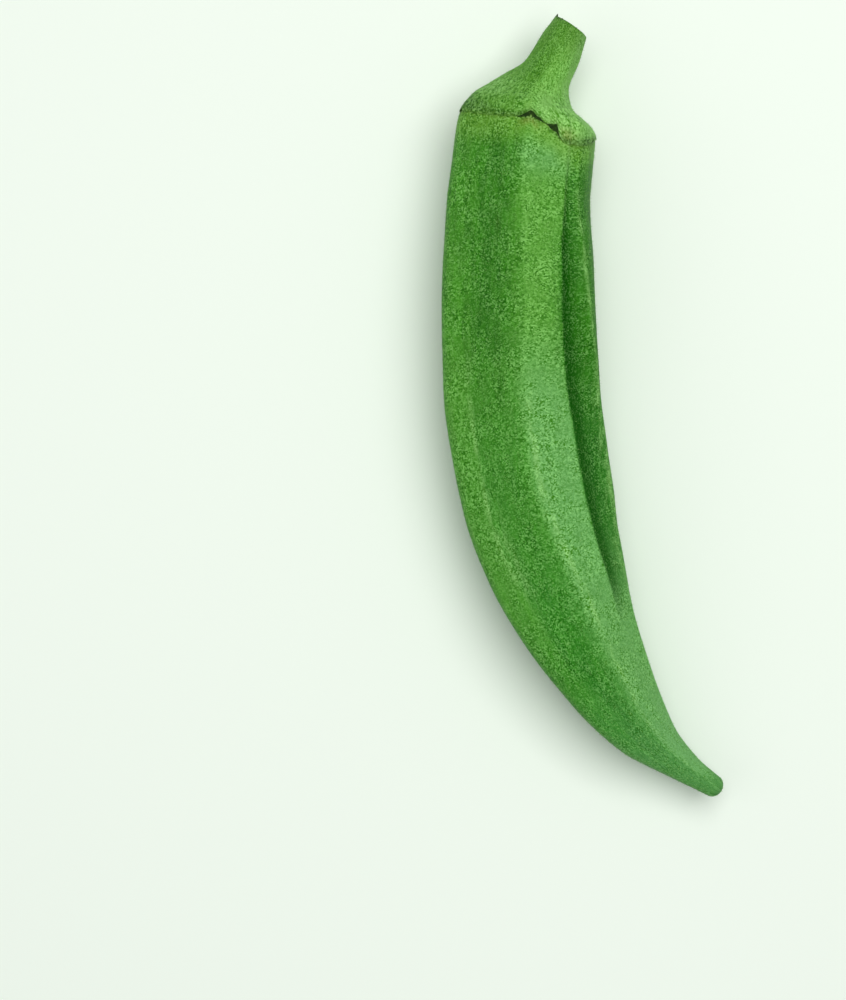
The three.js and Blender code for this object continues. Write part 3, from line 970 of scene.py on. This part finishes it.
def scar_flake(middle, rows, seed):
    """The dark remains in one scar: a thin ragged flake that lies on the pod under the cap's lip, dark enough
    to stand in for the shade in the gap there too.
    """
    rng = np.random.default_rng(seed)
    count, thickness, tucked, sunk = 90, 0.06, 0.2, 0.12
    degrees = np.linspace(rows[0, 0], rows[-1, 0], count)
    over = np.interp(degrees, rows[:, 0], rows[:, 1])
    under = np.interp(degrees, rows[:, 0], rows[:, 2]) * (1 + 0.15 * rng.standard_normal(count))
    under = np.maximum(under, 0.03)
    shares = np.array((0, 0.25, 0.5, 0.75, 1, 0.9, 0.5, 0.1))
    heights = np.array((0, 1, 1.2, 1, 0.4, -1, -1, -1))
    heights = np.where(heights > 0, heights * thickness, heights * sunk)
    shells = []
    for k in range(count):
        reach = over[k] + tucked + under[k]
        down = -(over[k] + tucked) + shares * reach
        around = np.full(len(shares), degrees[k] + middle)
        lumpy = np.where(heights > 0, heights * rng.uniform(0.5, 1.5, len(shares)), heights)
        shells.append(skin(down + along(SEAM_DIP, wrapped(around)), around % 360, 1.0, 0.0, lumpy))
    return np.array(shells)


def torn_fibre(angle, stands_out, radius, around=8):
    """A short tapered fibre left standing just inside the rim of the cut."""
    circle = np.radians(degrees_around(around))
    shrink, rooted = 0.93, 0.3
    half = np.interp(CUT_AT, FIT["s"], FIT["scale"]) * shrink
    slide = half * math.sin(math.radians(angle)) * math.tan(math.radians(CUT_SLANT))
    root = skin(np.array([CUT_AT]), np.array([angle % 360.0]), shrink, slide + rooted)[0]
    tip_x, tip_y = heading(CUT_AT)
    upwards = np.array((-tip_x, -tip_y, 0.0))
    across = np.array((tip_y, -tip_x, 0.0))
    rings = []
    for share, width in ((0, 1), (0.4, 0.9), (0.75, 0.5), (1, 0.12)):
        middle = root + upwards * (rooted + stands_out) * share
        ring = np.outer(np.cos(circle), across) + np.outer(np.sin(circle), (0, 0, 1))
        rings.append(middle + ring * radius * width)
    return np.array(rings)


def joined_shells(name, shells):
    """One mesh from several closed stacks of rings."""
    points, faces = [], []
    for rings in shells:
        start = sum(len(part) for part in points)
        mesh = closed_mesh("part", rings, {})
        points.append(np.array([vertex.co[:] for vertex in mesh.vertices]))
        faces += [[start + index for index in polygon.vertices] for polygon in mesh.polygons]
        bpy.data.meshes.remove(mesh)
    whole = bpy.data.meshes.new(name)
    whole.from_pydata(np.concatenate(points).tolist(), [], faces)
    return whole


def face_outwards(mesh):
    """Turns every closed shell of the mesh so that its faces point out."""
    work = bmesh.new()
    work.from_mesh(mesh)
    bmesh.ops.recalc_face_normals(work, faces=work.faces)
    work.to_mesh(mesh)
    work.free()


class OKRA_OT_remains(bpy.types.Operator):
    """Makes the dark flakes of dry calyx in the scars along the seam, which also stand in for the shade under
    the cap's lip, and the torn fibres round the cut
    """

    bl_idname = "okra.remains"
    bl_label = "Calyx remains"

    def execute(self, context):
        seed = context.scene.okra_sizes.seed
        shells = [scar_flake(middle, rows, seed + 10 + k) for k, (middle, rows) in enumerate(SCARS)]
        fibres = [torn_fibre(*fibre) for fibre in TORN_FIBRES]
        finish = dry_material(context.scene.okra_colours)
        for name, closed_shells in (("calyx_remains_and_shade", shells), ("stem_fibres", fibres)):
            mesh = joined_shells(name, closed_shells)
            face_outwards(mesh)
            piece = add_object(name, mesh, [finish])
            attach(piece, "root")
        return {"FINISHED"}


def down_tree():
    """Geometry nodes that stand tapered hairs over a skin, as dense as its down mark says."""
    tree = bpy.data.node_groups.new("Down Hairs", "GeometryNodeTree")
    for label, kind in (("Skin", "Geometry"), ("Density", "Float"), ("Length", "Float"),
                        ("Radius", "Float"), ("Seed", "Int"), ("Finish", "Material")):
        tree.interface.new_socket(label, in_out="INPUT", socket_type="NodeSocket" + kind)
    tree.interface.new_socket("Hairs", in_out="OUTPUT", socket_type="NodeSocketGeometry")
    board = Board(tree)
    given = board.add("NodeGroupInput").outputs
    mark = board.add("GeometryNodeInputNamedAttribute", {"Name": "down"}, data_type="FLOAT")
    density = board.times(given["Density"], mark.outputs["Attribute"])
    points = board.add("GeometryNodeDistributePointsOnFaces",
                       {"Mesh": given["Skin"], "Density": density, "Seed": given["Seed"]})
    hair = board.add("GeometryNodeMeshCone",
                     {"Vertices": 3, "Radius Top": 0.0, "Radius Bottom": 1.0, "Depth": 1.0})
    lean, turn, shortest = 1.15, 6.28, 0.45
    tilt = board.add("FunctionNodeRandomValue", {0: (-lean, -lean, 0.0), 1: (lean, lean, turn), "Seed": 3},
                     data_type="FLOAT_VECTOR").outputs[0]
    turned = board.add("FunctionNodeRotateRotation",
                       {"Rotation": points.outputs["Rotation"], "Rotate By": tilt}, rotation_space="LOCAL")
    share = board.add("FunctionNodeRandomValue", {2: shortest, 3: 1.0, "Seed": 5},
                      data_type="FLOAT").outputs[1]
    size = board.add("ShaderNodeCombineXYZ", {0: given["Radius"], 1: given["Radius"],
                                              2: board.times(given["Length"], share)})
    placed = board.add("GeometryNodeInstanceOnPoints",
                       {"Points": points.outputs["Points"], "Instance": hair.outputs["Mesh"],
                        "Rotation": turned.outputs[0], "Scale": size.outputs[0]})
    solid = board.add("GeometryNodeRealizeInstances", {"Geometry": placed.outputs[0]})
    finished = board.add("GeometryNodeSetMaterial",
                         {"Geometry": solid.outputs[0], "Material": given["Finish"]})
    end = board.add("NodeGroupOutput")
    tree.links.new(finished.outputs[0], end.inputs["Hairs"])
    return tree


def grow_down(name, skin_name, sizes, material, seed):
    """Grows the down on a copy of one skin and keeps the hairs alone, as a plain mesh."""
    tree = bpy.data.node_groups.get("Down Hairs") or down_tree()
    carrier = add_object(name + "_carrier", bpy.data.objects[skin_name].data.copy())
    modifier = carrier.modifiers.new("Down", "NODES")
    modifier.node_group = tree
    values = {"Density": sizes.down_density, "Length": sizes.down_length, "Radius": sizes.down_radius,
              "Seed": seed, "Finish": material}
    for item in tree.interface.items_tree:
        if item.in_out == "INPUT" and item.name in values:
            modifier[item.identifier] = values[item.name]
    grown = carrier.evaluated_get(bpy.context.evaluated_depsgraph_get())
    mesh = bpy.data.meshes.new_from_object(grown)
    mesh.name = name
    bpy.data.objects.remove(carrier)
    return add_object(name, mesh)


class OKRA_OT_down(bpy.types.Operator):
    """Grows the fine pale down over the pod and the cap"""

    bl_idname = "okra.down"
    bl_label = "Down"

    def execute(self, context):
        sizes = context.scene.okra_sizes
        material = down_material(context.scene.okra_colours)
        for name, skin_name, slot in (
                ("down_pod", "pod_skin", "pod_skin"), ("down_cap", "cap_and_stem", "stem_skin")):
            piece = grow_down(name, skin_name, sizes, material, sizes.seed)
            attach(piece, "root")
        return {"FINISHED"}


def add_area_light(name, place, size, power):
    """A square soft white light that faces the pod."""
    light = bpy.data.lights.new(name, "AREA")
    light.size, light.energy = size, power
    holder = add_object(name, light)
    holder.location = place
    aim = np.array(LIGHTS_FACE) - np.array(place)
    holder.rotation_euler = Vector(aim).to_track_quat("-Z", "Y").to_euler()


def add_camera():
    """A camera that looks straight down on the pod, with the photograph's frame."""
    data = bpy.data.cameras.new("camera")
    data.sensor_width = 36
    data.lens = data.sensor_width * CAMERA_HEIGHT / (max(PICTURE) * MM_PER_PIXEL)
    data.clip_start, data.clip_end = 0.01, 10
    camera = add_object("camera", data)
    centre = SEAM_AT[:2] + np.array(PICTURE_CENTRE)
    camera.location = (centre[0] * MM, centre[1] * MM, (CAMERA_HEIGHT + POD_MIDDLE_HEIGHT) * MM)
    bpy.context.scene.camera = camera


def add_world():
    """The even, slightly cool light of a pale room."""
    world = bpy.data.worlds.new("soft_room")
    world.use_nodes = True
    background = world.node_tree.nodes["Background"]
    background.inputs["Color"].default_value = (0.95, 0.97, 1.0, 1.0)
    background.inputs["Strength"].default_value = ROOM_LIGHT
    bpy.context.scene.world = world


class OKRA_OT_stage(bpy.types.Operator):
    """Makes the plain pale floor, the soft lights and the camera"""

    bl_idname = "okra.stage"
    bl_label = "Stage"

    def execute(self, context):
        mesh = bpy.data.meshes.new("floor")
        sides = ((-1, -1), (1, -1), (1, 1), (-1, 1))
        corners = [(x * FLOOR_HALF, y * FLOOR_HALF, -FLOOR_DROP) for x, y in sides]
        mesh.from_pydata(corners, [], [(0, 1, 2, 3)])
        floor = add_object("floor", mesh, [floor_material(context.scene.okra_colours)])
        for light in LIGHTS:
            add_area_light(*light)
        add_world()
        add_camera()
        context.scene.view_settings.view_transform = "Standard"
        return {"FINISHED"}


class OKRA_PT_panel(bpy.types.Panel):
    """Shows the sizes, the colours and the operators that dress the pod"""

    bl_idname = "OKRA_PT_panel"
    bl_label = "Okra pod"
    bl_space_type = "VIEW_3D"
    bl_region_type = "UI"
    bl_category = "Okra"

    def draw(self, context):
        for group in (context.scene.okra_sizes, context.scene.okra_colours):
            for key in group.bl_rna.properties.keys():
                if key not in ("rna_type", "name"):
                    self.layout.prop(group, key)
        for operator in OPERATORS:
            self.layout.operator(operator.bl_idname)


OPERATORS = (OKRA_OT_pod, OKRA_OT_cap, OKRA_OT_remains, OKRA_OT_down, OKRA_OT_stage)
CLASSES = (OkraSizes, OkraColours, *OPERATORS, OKRA_PT_panel)


def register():
    for cls in CLASSES:
        bpy.utils.register_class(cls)
    bpy.types.Scene.okra_sizes = PointerProperty(type=OkraSizes)
    bpy.types.Scene.okra_colours = PointerProperty(type=OkraColours)


def unregister():
    del bpy.types.Scene.okra_sizes
    del bpy.types.Scene.okra_colours
    for cls in reversed(CLASSES):
        bpy.utils.unregister_class(cls)


def main():
    register()
    bpy.ops.okra.pod()
    bpy.ops.okra.cap()
    bpy.ops.okra.remains()
    bpy.ops.okra.down()
    bpy.ops.okra.stage()


if __name__ == "__main__":
    main()
